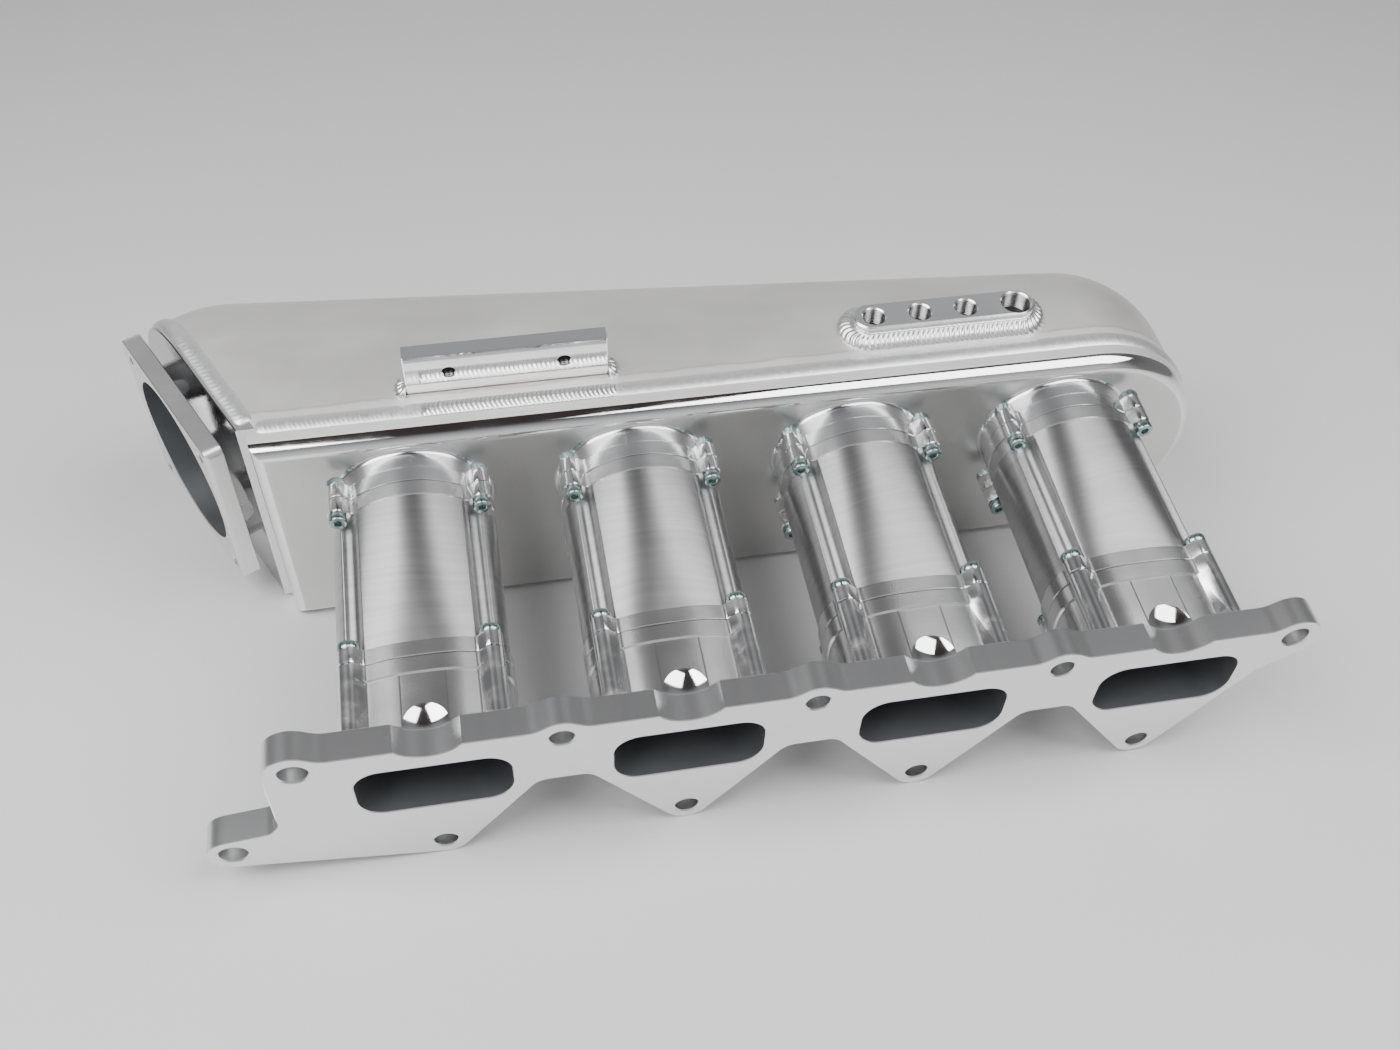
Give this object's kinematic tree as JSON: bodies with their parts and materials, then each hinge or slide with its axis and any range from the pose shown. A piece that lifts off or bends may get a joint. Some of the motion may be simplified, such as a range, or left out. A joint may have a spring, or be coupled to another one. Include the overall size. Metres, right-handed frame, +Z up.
{
  "type": "intake manifold",
  "caption": "Transverse inline-engine intake manifold: scalloped head flange, bolted runners and a tapered welded plenum with an angled square throttle flange.",
  "frame": {"origin": "centre of the head flange's sealing face, level with the port centres", "axes": "-Y out of the head flange's sealing face towards the cylinder head, +X along the flange towards the plenum's closed end, +Z up"},
  "size_m": [0.4658, 0.2597, 0.1302],
  "materials": {
    "machined_aluminium": "fine-milled, satin",
    "turned_aluminium": "fine tool rings, semi-bright",
    "plate_aluminium": "milled satin face with a polished edge",
    "sheet_aluminium": "satin rolled sheet with weld tint",
    "polished_aluminium": "polished",
    "zinc_steel": "clear zinc plated",
    "seal_rubber": "matte black nitrile"
  },
  "bodies": {
    "root": {"head_flange": "machined_aluminium", "base_plate": "plate_aluminium", "plenum_shell": "sheet_aluminium", "throttle_flange": "plate_aluminium", "accessory_bracket": "polished_aluminium", "vacuum_port_block": "machined_aluminium", "runner_1": "turned_aluminium", "runner_2": "turned_aluminium", "runner_3": "turned_aluminium", "runner_4": "turned_aluminium", "port_seal_1": "seal_rubber", "port_seal_2": "seal_rubber", "port_seal_3": "seal_rubber", "port_seal_4": "seal_rubber", "runner_seal_1": "seal_rubber", "runner_seal_2": "seal_rubber", "runner_seal_3": "seal_rubber", "runner_seal_4": "seal_rubber", "port_screw_1_upper_left": "zinc_steel", "port_screw_1_upper_right": "zinc_steel", "port_screw_1_lower_left": "zinc_steel", "port_screw_1_lower_right": "zinc_steel", "port_screw_2_upper_left": "zinc_steel", "port_screw_2_upper_right": "zinc_steel", "port_screw_2_lower_left": "zinc_steel", "port_screw_2_lower_right": "zinc_steel", "port_screw_3_upper_left": "zinc_steel", "port_screw_3_upper_right": "zinc_steel", "port_screw_3_lower_left": "zinc_steel", "port_screw_3_lower_right": "zinc_steel", "port_screw_4_upper_left": "zinc_steel", "port_screw_4_upper_right": "zinc_steel", "port_screw_4_lower_left": "zinc_steel", "port_screw_4_lower_right": "zinc_steel", "runner_bolt_1_upper_left": "zinc_steel", "runner_bolt_1_upper_right": "zinc_steel", "runner_bolt_1_lower_left": "zinc_steel", "runner_bolt_1_lower_right": "zinc_steel", "runner_bolt_2_upper_left": "zinc_steel", "runner_bolt_2_upper_right": "zinc_steel", "runner_bolt_2_lower_left": "zinc_steel", "runner_bolt_2_lower_right": "zinc_steel", "runner_bolt_3_upper_left": "zinc_steel", "runner_bolt_3_upper_right": "zinc_steel", "runner_bolt_3_lower_left": "zinc_steel", "runner_bolt_3_lower_right": "zinc_steel", "runner_bolt_4_upper_left": "zinc_steel", "runner_bolt_4_upper_right": "zinc_steel", "runner_bolt_4_lower_left": "zinc_steel", "runner_bolt_4_lower_right": "zinc_steel"}
  },
  "joints": []
}
